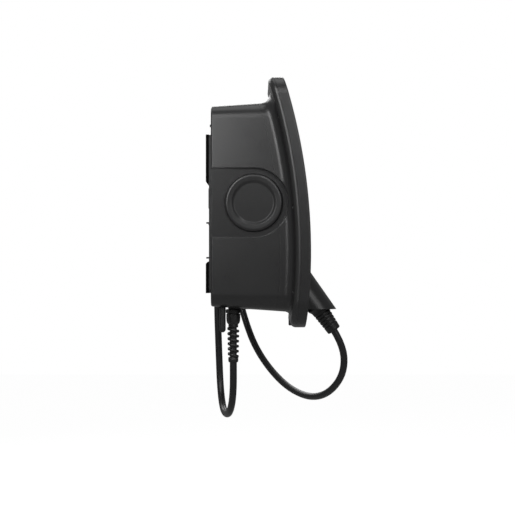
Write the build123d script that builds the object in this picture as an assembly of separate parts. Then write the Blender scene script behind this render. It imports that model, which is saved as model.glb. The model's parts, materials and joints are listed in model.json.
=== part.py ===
"""Wall-mounted charging station for electric cars, with its tethered cable.

Millimetres. X runs across the unit, Z up, and the front faces -Y. The wall is
the plane Y = 0, and the origin is the middle of the four wall-bolt holes.
Depths are distances out from the wall, so a depth of d lies at Y = -d.
"""
from build123d import *
import math
import os

# Wall fixing
BOLT_SPACING_X = 120.0
BOLT_SPACING_Z = 227.0
BOLT_HOLE_R = 4.5
PAD_THICK = 6.0
PAD_WIDTH = 150.0
PAD_UPPER_HIGH = 94.0
PAD_LOWER_HIGH = 60.5
PAD_BEVEL = 4.0
BRACKET_THICK = 4.0
BRACKET_WIDTH = 150.0
BRACKET_CORNER = 8.0
PIN_R = 1.6
PIN_LEVELS = (-8.7, -76.0)

# Rear housing, a drafted tub
BACK_HALF_W = 92.0
BACK_LOW = -169.5
BACK_HIGH = 214.9
BACK_CORNER = 24.0
DRAFT = 4.0
WALL = 3.5
REAR_WALL = 5.0
BACK_EDGE_R = 3.5
RIM_EDGE_R = 0.4
BOLT_POCKET_R = 13.0
BOLT_POCKET_DEEP = 14.0

# Front, bent to one large radius, and how far it reaches past the housing
FRONT_R = 1090.0
FRONT_DEPTH = 200.0
CROWN_Z = -65.0
SIDE_OVERHANG = 31.77
LOW_OVERHANG = 30.64
HIGH_OVERHANG = 46.07
COVER_CORNER_LOW = 52.0
COVER_CORNER_HIGH = 34.0
COVER_EDGE_R = 3.0
SEAM = 18.0
FLANGE = 30.0
RIM = 58.0
GASKET = 0.8
GASKET_INSET = 0.9
NECK_INSET = 0.2
NECK_FILLET = 17.5
FLANGE_EDGE_R = 11.0
FRAME_RIM_WALL = 6.0
FRAME_BACK_WALL = 5.0
FLARE_R = 28.0
FLARE_INSET = 4.0
FLARE_CORNER = 34.0
FLARE_ROOT = 4.0
LATCH_W = 24.0
LATCH_HIGH = 11.5
LATCH_DEPTH = 160.5
LATCH_LONG = 9.5
EAR_HALF_HIGH = 7.0
EAR_LONG = 32.0
EAR_THICK = 12.0

# Round-ended recess and dished cap on each side
RECESS_Z = 29.3
RECESS_R = 66.3
RECESS_PAST_RIM = 20.62
RECESS_SINK = 2.5
CAP_GAP = 10.3
CAP_RING = 13.4
CAP_BEVEL = 5.0
CAP_HIGH = 7.0
CAP_FLOOR = 3.0
CAP_SPIGOT_R = 12.0
CAP_SPIGOT_WALL = 2.0
SCOOP_WIDE = 57.0
SCOOP_DEEP = 3.2

# Connector holster
DOCK_ANGLE = 35.0
DOCK_OUT = 20.8
DOCK_UP = 32.5
NOSE_OFFSET = 7.0
HOOD_R = 34.6
HOOD_WALL = 3.2
LINER_WALL = 2.5
LINER_END = 5.0
NOSE_LONG = 102.0
NOSE_BACK = 18.0
FIT = 0.2
LOOSE_FIT = 0.3
GRIP_R = 21.4
TAIL_LONG = 52.0
TAIL_R = 13.4
CONTACT_SPREAD = 17.0
CONTACT_R = 3.0
SIGNAL_R = 1.6
CONTACT_WALL = 1.0

# Cable and what holds it
CABLE_D = 14.0
GLAND_X = -34.0
GLAND_DEPTH = 52.1
GLAND_THREAD_R = 10.0
HEX_GAP = 3.56
HEX_ACROSS = 29.2
HEX_HIGH = 15.2
SLEEVE_R = 9.4
SLEEVE_HIGH = 14.0
BOOT_COLLAR_R = 9.6
BOOT_HIGH = 74.0
BOOT_R = 10.8
BOOT_PITCH = 10.2
BOOT_WIRE = 4.4
BOOT_COLLAR = 6.0
BOOT_END = 10.0
ANTENNA_X = -66.0
ANTENNA_DEPTH = 31.8
ANTENNA_R = 6.3
ANTENNA_THREAD_R = 4.0
ANTENNA_LONG = 48.48
GROMMET_X = 45.0
GROMMET_DEPTH = 75.0
GROMMET_R = 14.0

# Stored cable, a coil on a hook beside the unit
COIL_OUT = 105.0
COIL_Z = 5.0
COIL_BACK = 17.5
COIL_PITCH = 14.3
COIL_ROWS = 3
COIL_MID_R = 77.0
HOOK_PLATE = 4.0
HOOK_LOW = 22.0
HOOK_HIGH = 62.0
HOOK_START = 14.0
HOOK_SCREW_X = (30.0, 62.0)
HOOK_SCREW_DROP = 10.0
STRAP_WIDE = 20.0
STRAP_THICK = 1.8

# Inside
BOARD_DEPTH = 40.0
BOARD_THICK = 1.6
BOARD_W = 136.0
BOARD_LOW = -30.0
BOARD_HIGH = 185.0
BOARD_MIDDLE_ROW = 77.0
BOARD_SPOT_INSET = 8.0
BOARD_SPOT_R = 3.5
SCREW_R = 2.0
PILLAR_R = 7.5
PILLAR_WALL = 3.0
PILLAR_INSET = 14.0
PILLAR_LOW = 24.5
PILLAR_HIGH = 26.9
COVER_SCREW_INSET = 15.6
COVER_SCREW_LOW = 69.0
COVER_SCREW_HIGH = 77.5
COVER_SCREW_MIDDLE = 20.0
COVER_BOSS_R = 6.0
COVER_HEAD_R = 3.1
FACE_BOARD_W = 80.0
FACE_BOARD_HIGH = 100.0
FACE_BOARD_GAP = 8.93
FACE_POST_INSET = 6.0
LIGHT_W = 6.0
LIGHT_HIGH = 80.0
LIGHT_Z = 110.0
LIGHT_LIP = 3.0
LIGHT_SINK = 0.4
LAMPS = 5
LAMP_PITCH = 16.0
LAMP_SIZE = 3.6
CHIP_SIZE = 18.0
CHIP_HIGH = 1.4

# Modules on the main board: width, height and how far they stand out
CONTACTOR_W = 72.0
CONTACTOR_HIGH = 70.0
CONTACTOR_DEEP = 52.0
CONTACTOR_DROP = 27.0
CONTACTOR_STEP = 10.0
CONTACTOR_STEP_DEEP = 18.0
POLES = 4
POLE_PITCH = 18.0
POLE_R = 3.2
METER_W = 24.0
METER_HIGH = 66.0
METER_DEEP = 30.0
METER_DROP = 35.0
SENSOR_R = 21.0
SENSOR_BORE_R = 11.0
SENSOR_DEEP = 18.0
SENSOR_DROP = 29.0
SUPPLY_W = 54.0
SUPPLY_HIGH = 36.0
SUPPLY_DEEP = 24.0
SUPPLY_DROP = 11.0
MODULE_MARGIN = 2.0
TERMINAL_W = 76.0
TERMINAL_HIGH = 28.0
TERMINAL_DEEP = 22.0
TERMINAL_UP = 10.0
TERMINAL_BEVEL = 5.0
TERMINALS = 5
TERMINAL_PITCH = 15.0
TERMINAL_SCREW_R = 3.5
WIRE_ENTRY = 8.0

# Studs that the housing hangs on, and the screw that secures it
STUD_X = 45.0
STUD_Z = 55.0
STUD_R = 3.0
STUD_HEAD_R = 6.0
STUD_HEAD = 2.0
KEYHOLE_DROP = 16.0
SECURE_Z = -60.0
SECURE_R = 2.5

BODY_BACK = PAD_THICK + BRACKET_THICK
CABLE_R = CABLE_D / 2
TAN_DRAFT = math.tan(math.radians(DRAFT))
FAR = FRONT_DEPTH + 30.0


def spot(x, depth, z):
    """A point given by its depth out from the wall."""
    return Vector(x, -depth, z)


def prism(sketch, depth_a, depth_b):
    """A sketch drawn in X and Z, extruded between two depths."""
    return extrude(Plane.XZ.offset(depth_a) * sketch, depth_b - depth_a)


def disc(x, z, radius, depth_a, depth_b):
    return prism(Pos(x, z) * Circle(radius), depth_a, depth_b)


def plate(x_a, x_b, z_a, z_b, depth_a, depth_b):
    middle = Pos((x_a + x_b) / 2, (z_a + z_b) / 2)
    return prism(middle * Rectangle(x_b - x_a, z_b - z_a), depth_a, depth_b)


def behind_front(offset):
    """Everything that lies at least this far behind the bent front."""
    axis = Pos(0, FRONT_R - FRONT_DEPTH, CROWN_Z) * Rot(0, 90, 0)
    return axis * Cylinder(FRONT_R - offset, 600)


def depth_at(offset, z):
    """Depth of the surface that is this far behind the bent front."""
    return math.sqrt((FRONT_R - offset) ** 2 - (z - CROWN_Z) ** 2) - (FRONT_R - FRONT_DEPTH)


def side_at(depth):
    """Half width of the drafted housing at a depth."""
    return BACK_HALF_W + (depth - BODY_BACK) * TAN_DRAFT


def bottom_at(depth):
    return BACK_LOW - (depth - BODY_BACK) * TAN_DRAFT


def top_at(depth):
    return BACK_HIGH + (depth - BODY_BACK) * TAN_DRAFT


# Sizes and places that follow from the ones above
COVER_HALF_W = side_at(depth_at(RIM, CROWN_Z)) + SIDE_OVERHANG
COVER_LOW = bottom_at(depth_at(RIM, BACK_LOW)) - LOW_OVERHANG
COVER_HIGH = top_at(depth_at(RIM, BACK_HIGH)) + HIGH_OVERHANG
COVER_SCREW_X = COVER_HALF_W - COVER_SCREW_INSET
COVER_SCREW_LEVELS = (COVER_LOW + COVER_SCREW_LOW, COVER_SCREW_MIDDLE, COVER_HIGH - COVER_SCREW_HIGH)
PILLAR_X = BACK_HALF_W - PILLAR_INSET
PILLAR_LEVELS = (BACK_LOW + PILLAR_LOW, BACK_HIGH - PILLAR_HIGH)
RECESS_DEPTH = depth_at(RIM, RECESS_Z) + RECESS_PAST_RIM - RECESS_R
RECESS_FLOOR = BACK_HALF_W - RECESS_SINK
CAP_R = RECESS_R - CAP_GAP
CAP_BEVEL_R = CAP_R - CAP_RING
CAP_DISH_R = CAP_BEVEL_R - CAP_BEVEL
DOCK_DEPTH = FRONT_DEPTH + DOCK_OUT
DOCK_Z = COVER_LOW + DOCK_UP
FACE_BOARD_DEPTH = depth_at(WALL, LIGHT_Z + FACE_BOARD_HIGH / 2) - FACE_BOARD_GAP
COIL_X = BACK_HALF_W + COIL_OUT
HOOK_SCREW_Z = (HOOK_LOW + HOOK_HIGH) / 2 - HOOK_SCREW_DROP
ON_BOARD = BOARD_DEPTH + BOARD_THICK
GLAND_TOP = BACK_LOW + WALL + 12
HEX_TOP = bottom_at(GLAND_DEPTH) - HEX_GAP
CORD_START = HEX_TOP - HEX_HIGH - 2
BOOT_TOP = HEX_TOP - HEX_HIGH - SLEEVE_HIGH
ANTENNA_TIP = bottom_at(ANTENNA_DEPTH) - ANTENNA_LONG


def drafted(inset, depth):
    """The housing's drafted block, drawn in by inset, from a depth forwards."""
    grown = (depth - BODY_BACK) * TAN_DRAFT - inset
    high = BACK_HIGH - BACK_LOW + 2 * grown
    outline = RectangleRounded(2 * (BACK_HALF_W + grown), high, BACK_CORNER + grown)
    start = Plane.XZ.offset(depth) * Pos(0, (BACK_HIGH + BACK_LOW) / 2) * outline
    return extrude(start, FAR - depth, taper=-DRAFT)


def cover_outline(inset):
    high = COVER_HIGH - COVER_LOW - 2 * inset
    box = Rectangle(2 * (COVER_HALF_W - inset), high)
    rows = box.vertices().group_by(Axis.Y)
    box = fillet(rows[0], COVER_CORNER_LOW - inset)
    rows = box.vertices().group_by(Axis.Y)
    box = fillet(rows[-1], COVER_CORNER_HIGH - inset)
    return Pos(0, (COVER_HIGH + COVER_LOW) / 2) * box


def band_face(solid, offset):
    """The largest face that follows the front at an offset."""
    radius = FRONT_R - offset
    found = [f for f in solid.faces()
             if f.geom_type == GeomType.CYLINDER and abs(f.radius - radius) < 0.01]
    return max(found, key=lambda f: f.area)


def recess(grow=0.0):
    """The round-ended recess of both sides, made larger by grow."""
    round_end = Pos(-RECESS_DEPTH, RECESS_Z) * Circle(RECESS_R + grow)
    straight = Pos((20 - RECESS_DEPTH) / 2, RECESS_Z)
    straight *= Rectangle(20 + RECESS_DEPTH, 2 * (RECESS_R + grow))
    outline = Plane.YZ.offset(RECESS_FLOOR - grow) * (round_end + straight)
    right = extrude(outline, 60)
    return right + mirror(right, Plane.YZ)


def flare():
    """The sweep with which the top of the neck runs out into the cover."""
    depth = FRONT_DEPTH / 2
    for _ in range(30):
        z = top_at(depth) + FLARE_R / math.cos(math.radians(DRAFT))
        reach = FRONT_R - FLANGE - FLARE_R
        depth = math.sqrt(reach ** 2 - (z - CROWN_Z) ** 2) - (FRONT_R - FRONT_DEPTH)
    lean = math.atan2(z - CROWN_Z, depth + FRONT_R - FRONT_DEPTH)
    foot = (-(depth + FLARE_R * math.sin(math.radians(DRAFT))),
            z - FLARE_R * math.cos(math.radians(DRAFT)))
    head = (-(depth + FLARE_R * math.cos(lean)), z + FLARE_R * math.sin(lean))
    belly_turn = (lean - math.pi / 2) / 2
    belly = (-(depth + FLARE_R * math.cos(belly_turn)), z + FLARE_R * math.sin(belly_turn))
    root = FLARE_ROOT
    inner = (head[0] - root, foot[1] - root)
    with BuildSketch(Plane.YZ) as section:
        with BuildLine():
            ThreePointArc(foot, belly, head)
            Polyline(head, (head[0] - root, head[1]), inner, (foot[0], foot[1] - root), foot)
        make_face()
    half_w = BACK_HALF_W - FLARE_INSET
    sweep_up = extrude(section.sketch, half_w, both=True)
    top = COVER_HIGH - FLANGE_EDGE_R
    plan = Pos(0, top - half_w) * RectangleRounded(2 * half_w, 2 * half_w, FLARE_CORNER)
    return sweep_up & prism(plan, BODY_BACK, FAR)


# The tail axis of the docked connector leaves the mouth forwards and down
DOCK_DIR = Vector(0, -math.sin(math.radians(DOCK_ANGLE)), -math.cos(math.radians(DOCK_ANGLE)))
DOCK = Plane(origin=spot(0, DOCK_DEPTH, DOCK_Z), x_dir=(1, 0, 0), z_dir=DOCK_DIR)
LINER_R = HOOD_R - HOOD_WALL - FIT
NOSE_R = LINER_R - LINER_WALL - LOOSE_FIT
NOSE_TIP = -(NOSE_BACK + NOSE_LONG)


def dock_rod(radius, start, end, shift=-NOSE_OFFSET):
    """A cylinder along the dock, between two distances past the mouth."""
    rod = Cylinder(radius, end - start, align=(Align.CENTER, Align.CENTER, Align.MIN))
    return DOCK * Pos(0, shift, start) * rod


def below(z):
    return Pos(0, -150, z - 200) * Box(400, 500, 400)


def spacer_pad(middle, high):
    slab = plate(-PAD_WIDTH / 2, PAD_WIDTH / 2, middle - high / 2, middle + high / 2, 0, PAD_THICK)
    inner_end = slab.faces().sort_by(Axis.Z)[-1 if middle < 0 else 0]
    slab = chamfer(inner_end.edges().sort_by(Axis.Y)[-1:], PAD_BEVEL)
    for x in (-BOLT_SPACING_X / 2, BOLT_SPACING_X / 2):
        slab -= disc(x, middle, BOLT_HOLE_R, -1, PAD_THICK + 1)
    return slab


def wall_bracket():
    low = -BOLT_SPACING_Z / 2 - PAD_LOWER_HIGH / 2
    high = BOLT_SPACING_Z / 2 + PAD_UPPER_HIGH / 2
    outline = Pos(0, (low + high) / 2) * RectangleRounded(BRACKET_WIDTH, high - low, BRACKET_CORNER)
    body = prism(outline, PAD_THICK, BODY_BACK)
    for x in (-BOLT_SPACING_X / 2, BOLT_SPACING_X / 2):
        for z in (-BOLT_SPACING_Z / 2, BOLT_SPACING_Z / 2):
            body -= disc(x, z, BOLT_HOLE_R, 0, BODY_BACK + 1)
        for z in PIN_LEVELS:
            body += disc(x, z, PIN_R, 0.5, PAD_THICK + 1)
    window = Pos(0, -10) * RectangleRounded(60, 46, 6)
    body -= prism(window, 0, BODY_BACK + 1)
    for x in (-STUD_X, STUD_X):
        body -= disc(x, STUD_Z, STUD_R, 0, BODY_BACK + 1)
    body -= disc(0, SECURE_Z, SECURE_R, 0, BODY_BACK + 1)
    for x in HOOK_SCREW_X:
        body -= countersunk(x)
    return body


def countersunk(x):
    """Flat-headed screw that ties the cable hook to the bracket."""
    tail = disc(x, HOOK_SCREW_Z, SECURE_R, PAD_THICK - HOOK_PLATE, BODY_BACK)
    head = Plane.XZ.offset(BODY_BACK - SECURE_R) * Pos(x, HOOK_SCREW_Z)
    cone = Cone(SECURE_R, 2 * SECURE_R, SECURE_R, align=(Align.CENTER, Align.CENTER, Align.MIN))
    return tail + head * cone


def hanging_studs():
    studs = Part()
    for x in (-STUD_X, STUD_X):
        studs += disc(x, STUD_Z, STUD_R, PAD_THICK, BODY_BACK + REAR_WALL + LOOSE_FIT)
        head = BODY_BACK + REAR_WALL + LOOSE_FIT
        studs += disc(x, STUD_Z, STUD_HEAD_R, head, head + STUD_HEAD)
    return studs


def securing_screw():
    inside = BODY_BACK + REAR_WALL
    return (disc(0, SECURE_Z, SECURE_R, PAD_THICK, inside)
            + disc(0, SECURE_Z, 2 * SECURE_R, inside, inside + 3))


def saddle_radius():
    return COIL_MID_R - COIL_PITCH * (COIL_ROWS // 2) - COIL_PITCH / 2 - LOOSE_FIT


def coil_front():
    return COIL_BACK + COIL_PITCH * (COIL_ROWS - 0.5)


def cable_hook():
    """Bent steel arm behind the coil, with a curved saddle and a front lip."""
    back = PAD_THICK - HOOK_PLATE
    arm = plate(HOOK_START, COIL_X + 46, HOOK_LOW, HOOK_HIGH, back, PAD_THICK)
    arm = fillet(arm.edges().filter_by(Axis.Y), 8)
    radius = saddle_radius()
    front = coil_front() + LOOSE_FIT
    ring = disc(COIL_X, COIL_Z, radius, PAD_THICK - 1, front + HOOK_PLATE)
    ring -= disc(COIL_X, COIL_Z, radius - HOOK_PLATE, 0, FAR)
    lip = disc(COIL_X, COIL_Z, radius + 20, front, front + HOOK_PLATE)
    lip -= disc(COIL_X, COIL_Z, radius - HOOK_PLATE, 0, FAR)
    wedge = Polygon((0, 0), (80, 110), (-80, 110), align=None)
    sector = prism(Pos(COIL_X, COIL_Z) * wedge, 0, FAR)
    hook = arm + (ring & sector)
    hook += lip & prism(Pos(COIL_X, COIL_Z + 60) * RectangleRounded(50, 50, 10), 0, FAR)
    for x in HOOK_SCREW_X:
        hook -= disc(x, HOOK_SCREW_Z, SECURE_R, 0, PAD_THICK + 1)
    return hook


def hook_screws():
    screws = Part()
    for x in HOOK_SCREW_X:
        screws += countersunk(x)
    return screws


def keyhole(x):
    slot = disc(x, STUD_Z, STUD_R + LOOSE_FIT, 0, 30)
    low = STUD_Z - KEYHOLE_DROP
    half = STUD_R + LOOSE_FIT
    slot += disc(x, low, STUD_HEAD_R + 2 * LOOSE_FIT, 0, 30)
    return slot + plate(x - half, x + half, low, STUD_Z, 0, 30)


def finger_scoop():
    """Shallow hollow in the rear edge, in line with each side recess."""
    radius = ((SCOOP_WIDE / 2) ** 2 + SCOOP_DEEP ** 2) / (2 * SCOOP_DEEP)
    middle = Pos(0, -(BODY_BACK + SCOOP_DEEP - radius), RECESS_Z)
    bar = middle * Rot(0, 90, 0) * Cylinder(radius, 300)
    return bar - Pos(0, 0, RECESS_Z) * Box(2 * (RECESS_FLOOR - 2), 60, 200)


def rim_screw_seat(z):
    """Depth at which the head of a frame screw seats in its pillar."""
    return depth_at(RIM, z + PILLAR_R) - 22


def rear_housing():
    body = drafted(0, BODY_BACK) & behind_front(RIM)
    body = fillet(body.faces().sort_by(Axis.Y)[-1].edges(), BACK_EDGE_R)
    body = fillet(band_face(body, RIM).edges(), RIM_EDGE_R)
    body -= recess()
    cavity = drafted(WALL, BODY_BACK + REAR_WALL) - recess(WALL)
    body -= cavity
    inside = BODY_BACK + REAR_WALL
    for x in (-BOLT_SPACING_X / 2, BOLT_SPACING_X / 2):
        for z in (-BOLT_SPACING_Z / 2, BOLT_SPACING_Z / 2):
            tip = BODY_BACK + BOLT_POCKET_DEEP
            body += disc(x, z, BOLT_POCKET_R + 2, inside - 1, tip + 2)
            body -= disc(x, z, BOLT_POCKET_R, 0, tip)
    for x in (-PILLAR_X, PILLAR_X):
        for z in PILLAR_LEVELS:
            body += disc(x, z, PILLAR_R, inside - 1, FAR) & behind_front(RIM)
            body -= disc(x, z, PILLAR_R - PILLAR_WALL, 0, rim_screw_seat(z))
            body -= disc(x, z, SCREW_R + FIT, 0, FAR)
    for x in (-STUD_X, STUD_X):
        body -= keyhole(x)
    body -= disc(0, SECURE_Z, SECURE_R + FIT, 0, inside + 1)
    body -= finger_scoop()
    for hole in (upright(GLAND_X, GLAND_DEPTH, GLAND_THREAD_R + FIT),
                 upright(ANTENNA_X, ANTENNA_DEPTH, ANTENNA_THREAD_R + FIT),
                 upright(GROMMET_X, GROMMET_DEPTH, GROMMET_R + FIT)):
        body -= hole
    for side in (-1, 1):
        body -= cap_rod(side, CAP_SPIGOT_R + FIT, -8, 1)
    body += disc(-70, 177.5, 2.5, BODY_BACK - 2.4, BODY_BACK + 1)
    return body


def upright(x, depth, radius, low=-190.0, high=-150.0):
    rod = Cylinder(radius, high - low, align=(Align.CENTER, Align.CENTER, Align.MIN))
    return Pos(x, -depth, low) * rod


def cap_rod(side, radius, start, end):
    """A cylinder along a side cap's axis, measured outwards from the recess floor."""
    rod = Cylinder(radius, end - start, align=(Align.CENTER, Align.CENTER, Align.MIN))
    turn = Rot(0, 90 * side, 0)
    return Pos(side * RECESS_FLOOR, -RECESS_DEPTH, RECESS_Z) * turn * Pos(0, 0, start) * rod


def side_cap(side):
    """Dished cap in the recess: a rounded rim round a flat floor."""
    mid = (CAP_R + CAP_BEVEL_R) / 2
    with BuildSketch(Plane.XZ) as section:
        with BuildLine():
            Polyline((mid, CAP_HIGH), (CAP_BEVEL_R, CAP_HIGH - 0.6), (CAP_DISH_R + 1.2, CAP_FLOOR + 0.6),
                     (CAP_DISH_R, CAP_FLOOR), (0, CAP_FLOOR), (0, 0), (CAP_R, 0), (CAP_R, 2.0))
            ThreePointArc((CAP_R, 2.0), (CAP_R - 1.9, CAP_HIGH - 1.5), (mid, CAP_HIGH))
        make_face()
    cap = revolve(section.sketch, Axis.Z)
    place = Pos(side * RECESS_FLOOR, -RECESS_DEPTH, RECESS_Z) * Rot(0, 90 * side, 0)
    spigot = cap_rod(side, CAP_SPIGOT_R, -WALL - 1.5, 1)
    spigot -= cap_rod(side, CAP_SPIGOT_R - CAP_SPIGOT_WALL, -WALL - 2, 0.5)
    return place * cap + spigot


def cover_gasket():
    ring = drafted(GASKET_INSET, BODY_BACK) - drafted(WALL + 0.5, BODY_BACK)
    ring = (ring & behind_front(RIM - GASKET)) - behind_front(RIM)
    return ring - recess(1.0)


def frame_boss(x, z, radius, offset_a, offset_b):
    """A post along Y between two surfaces that follow the front."""
    return (disc(x, z, radius, BODY_BACK, FAR) & behind_front(offset_b)) - behind_front(offset_a)


def flange_blank():
    """The plate behind the front cover, its back edge rounded all the way round."""
    flange = prism(cover_outline(0), BODY_BACK, FAR) & behind_front(SEAM)
    flange -= behind_front(FLANGE)
    return fillet(band_face(flange, FLANGE).edges(), FLANGE_EDGE_R)


def cover_latch():
    """Latch that holds the front cover down, under the round back edge of the flange."""
    low = COVER_LOW + LOOSE_FIT
    high = COVER_LOW + LATCH_HIGH
    block = plate(-LATCH_W / 2, LATCH_W / 2, low, high, LATCH_DEPTH, LATCH_DEPTH + LATCH_LONG)
    block = chamfer(block.faces().sort_by(Axis.Y)[-1].edges(), 1)
    return block - flange_blank()


def cover_frame():
    """Ring behind the front cover: a neck on the housing that sweeps out into a flange."""
    flange = flange_blank()
    neck = drafted(NECK_INSET, BODY_BACK) & behind_front(FLANGE - FRAME_BACK_WALL)
    neck -= behind_front(RIM - GASKET)
    body = flange + neck
    inner_loop = band_face(body, FLANGE).inner_wires()[0]
    body = fillet(inner_loop.edges(), NECK_FILLET)
    body += (flare() & behind_front(SEAM + 1)) - behind_front(RIM - GASKET)
    body -= drafted(NECK_INSET + WALL, BODY_BACK) - recess(WALL)
    body -= recess()
    pocket = prism(cover_outline(FRAME_RIM_WALL), BODY_BACK, FAR) & behind_front(SEAM - 2)
    body -= pocket - behind_front(FLANGE - FRAME_BACK_WALL)
    for x in (-1, 1):
        for z in PILLAR_LEVELS:
            start = PILLAR_X - EAR_HALF_HIGH - 1
            ear = plate(start, start + EAR_LONG, z - EAR_HALF_HIGH, z + EAR_HALF_HIGH, BODY_BACK, FAR)
            ear = (ear & behind_front(RIM - GASKET - EAR_THICK)) - behind_front(RIM - GASKET)
            ear &= drafted(NECK_INSET + 1, BODY_BACK)
            if x < 0:
                ear = mirror(ear, Plane.YZ)
            body += ear
            body -= disc(x * PILLAR_X, z, SCREW_R, BODY_BACK, depth_at(RIM, z) + 9)
        for z in COVER_SCREW_LEVELS:
            body += frame_boss(x * COVER_SCREW_X, z, COVER_BOSS_R, FLANGE - 2, SEAM)
            seat = cover_screw_seat(z)
            body -= disc(x * COVER_SCREW_X, z, COVER_HEAD_R + LOOSE_FIT, BODY_BACK, seat)
            body -= disc(x * COVER_SCREW_X, z, SCREW_R + FIT, BODY_BACK, FAR)
    return body


def cover_screw_seat(z):
    return depth_at(SEAM, z + COVER_BOSS_R) - 5


def front_cover():
    """The bent front, a shallow tray that the holster's bore passes through."""
    shell = prism(cover_outline(0), BODY_BACK, FAR) & behind_front(0)
    shell = fillet(band_face(shell, 0).edges(), COVER_EDGE_R)
    shell -= behind_front(SEAM)
    shell -= prism(cover_outline(WALL), BODY_BACK, FAR) & behind_front(WALL)
    body = shell - holster_bore()
    for x in (-COVER_SCREW_X, COVER_SCREW_X):
        for z in COVER_SCREW_LEVELS:
            body += frame_boss(x, z, COVER_BOSS_R - 1, SEAM, WALL / 2)
            body -= disc(x, z, SCREW_R, BODY_BACK, depth_at(SEAM, z) + 8)
    for x, z in face_board_posts():
        post = disc(x, z, BOARD_SPOT_R, FACE_BOARD_DEPTH + BOARD_THICK, FAR)
        body += post & behind_front(WALL / 2)
    body -= light_bar(LIGHT_W / 2 + FIT, LIGHT_HIGH + 2 * FIT, -5, WALL + 1)
    return body


def holster_bore():
    return dock_rod(HOOD_R - HOOD_WALL, -160, 80)


def holster_hood():
    """Hood on the face: a half tube along the dock, straight-sided where it meets the cover."""
    hood = dock_rod(HOOD_R, -140, 60)
    hood += DOCK * Pos(0, -NOSE_OFFSET - 30, -40) * Box(2 * HOOD_R, 60, 200)
    hood -= below(DOCK_Z)
    return hood - behind_front(0) - holster_bore()


def light_bar(half_w, high, offset_a, offset_b):
    outline = Pos(0, LIGHT_Z) * RectangleRounded(2 * half_w, high, half_w - 0.1)
    bar = prism(outline, BODY_BACK, FAR)
    if offset_a > 0:
        bar &= behind_front(offset_a)
    return bar - behind_front(offset_b)


def status_light_guide():
    bar = light_bar(LIGHT_W / 2, LIGHT_HIGH, LIGHT_SINK, WALL)
    lip = light_bar(LIGHT_W / 2 + LIGHT_LIP, LIGHT_HIGH + 2 * LIGHT_LIP, WALL, WALL + 2)
    return bar + lip


def face_board_posts():
    x = FACE_BOARD_W / 2 - FACE_POST_INSET
    z = FACE_BOARD_HIGH / 2 - FACE_POST_INSET
    return [(side * x, LIGHT_Z + end * z) for side in (-1, 1) for end in (-1, 1)]


def control_board():
    """Board behind the light, with a row of lamps, a chip and a connector on its back."""
    outline = Pos(0, LIGHT_Z) * RectangleRounded(FACE_BOARD_W, FACE_BOARD_HIGH, 3)
    front = FACE_BOARD_DEPTH + BOARD_THICK
    board = prism(outline, FACE_BOARD_DEPTH, front)
    half = LAMP_SIZE / 2
    for row in range(LAMPS):
        z = LIGHT_Z + (row - (LAMPS - 1) / 2) * LAMP_PITCH
        board += plate(-half, half, z - half, z + half, front - 0.1, front + half)
    right = FACE_BOARD_W / 2 - CHIP_SIZE / 2
    board += plate(right - CHIP_SIZE, right, LIGHT_Z - CHIP_SIZE / 2, LIGHT_Z + CHIP_SIZE / 2,
                   front - 0.1, front + CHIP_HIGH)
    low = LIGHT_Z - FACE_BOARD_HIGH / 2 + CHIP_SIZE / 2
    board += plate(-right, CHIP_SIZE - right, low, low + CHIP_SIZE / 2,
                   FACE_BOARD_DEPTH - CHIP_SIZE / 2, FACE_BOARD_DEPTH + 0.1)
    return board


def holster_liner():
    tube = dock_rod(LINER_R, NOSE_TIP - LINER_END, 60)
    tube -= dock_rod(LINER_R - LINER_WALL, NOSE_TIP - 1, 70)
    outside = below(DOCK_Z + 1) - behind_front(0.5)
    return tube - outside


def nose_pattern():
    """Places of the seven contacts of a car plug, across the dock axis."""
    ring = [(CONTACT_SPREAD * math.cos(math.radians(a)), CONTACT_SPREAD * math.sin(math.radians(a)))
            for a in (-15, -60, -120, -165)]
    power = [(x, y, CONTACT_R) for x, y in [(0, 0)] + ring]
    return power + [(side * CONTACT_SPREAD / 2, 0.75 * CONTACT_SPREAD, SIGNAL_R) for side in (-1, 1)]


def connector_nose():
    nose = dock_rod(NOSE_R, NOSE_TIP, -NOSE_BACK)
    nose -= DOCK * Pos(0, NOSE_R - 3 - NOSE_OFFSET + 10, NOSE_TIP) * Box(60, 20, 90)
    nose -= dock_rod(NOSE_R - 3, NOSE_TIP - 1, NOSE_TIP + 12) - dock_rod(NOSE_R - 5, NOSE_TIP, 0)
    for x, y, radius in nose_pattern():
        hole = Cylinder(radius + CONTACT_WALL, 40, align=(Align.CENTER, Align.CENTER, Align.MIN))
        nose -= DOCK * Pos(x, y - NOSE_OFFSET, NOSE_TIP - 1) * hole
    return nose


def connector_contacts():
    pins = Part()
    for x, y, radius in nose_pattern():
        sleeve = Cylinder(radius + CONTACT_WALL, 30, align=(Align.CENTER, Align.CENTER, Align.MIN))
        sleeve -= Cylinder(radius, 25, align=(Align.CENTER, Align.CENTER, Align.MIN))
        pins += DOCK * Pos(x, y - NOSE_OFFSET, NOSE_TIP + 9) * sleeve
    return pins


def connector_grip():
    """Handle of the plug, turned about the tail axis and narrowing to the cable."""
    with BuildSketch(Plane.XZ) as section:
        with BuildLine():
            Polyline((0, -NOSE_BACK), (GRIP_R - 3, -NOSE_BACK), (GRIP_R, -NOSE_BACK + 3), (GRIP_R, -7))
            ThreePointArc((GRIP_R, -7), (GRIP_R - 1.5, -3), (17.6, 0))
            Polyline((17.6, 0), (17.0, 8), (TAIL_R, TAIL_LONG - 4), (TAIL_R - 3, TAIL_LONG))
            Polyline((TAIL_R - 3, TAIL_LONG), (CABLE_R + FIT, TAIL_LONG), (CABLE_R + FIT, TAIL_LONG - 20),
                     (0, TAIL_LONG - 20), (0, -NOSE_BACK))
        make_face()
    return DOCK * revolve(section.sketch, Axis.Z)


def turned(x, depth, z, radius, down):
    rod = Cylinder(radius, down, align=(Align.CENTER, Align.CENTER, Align.MAX))
    return Pos(x, -depth, z) * rod


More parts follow.
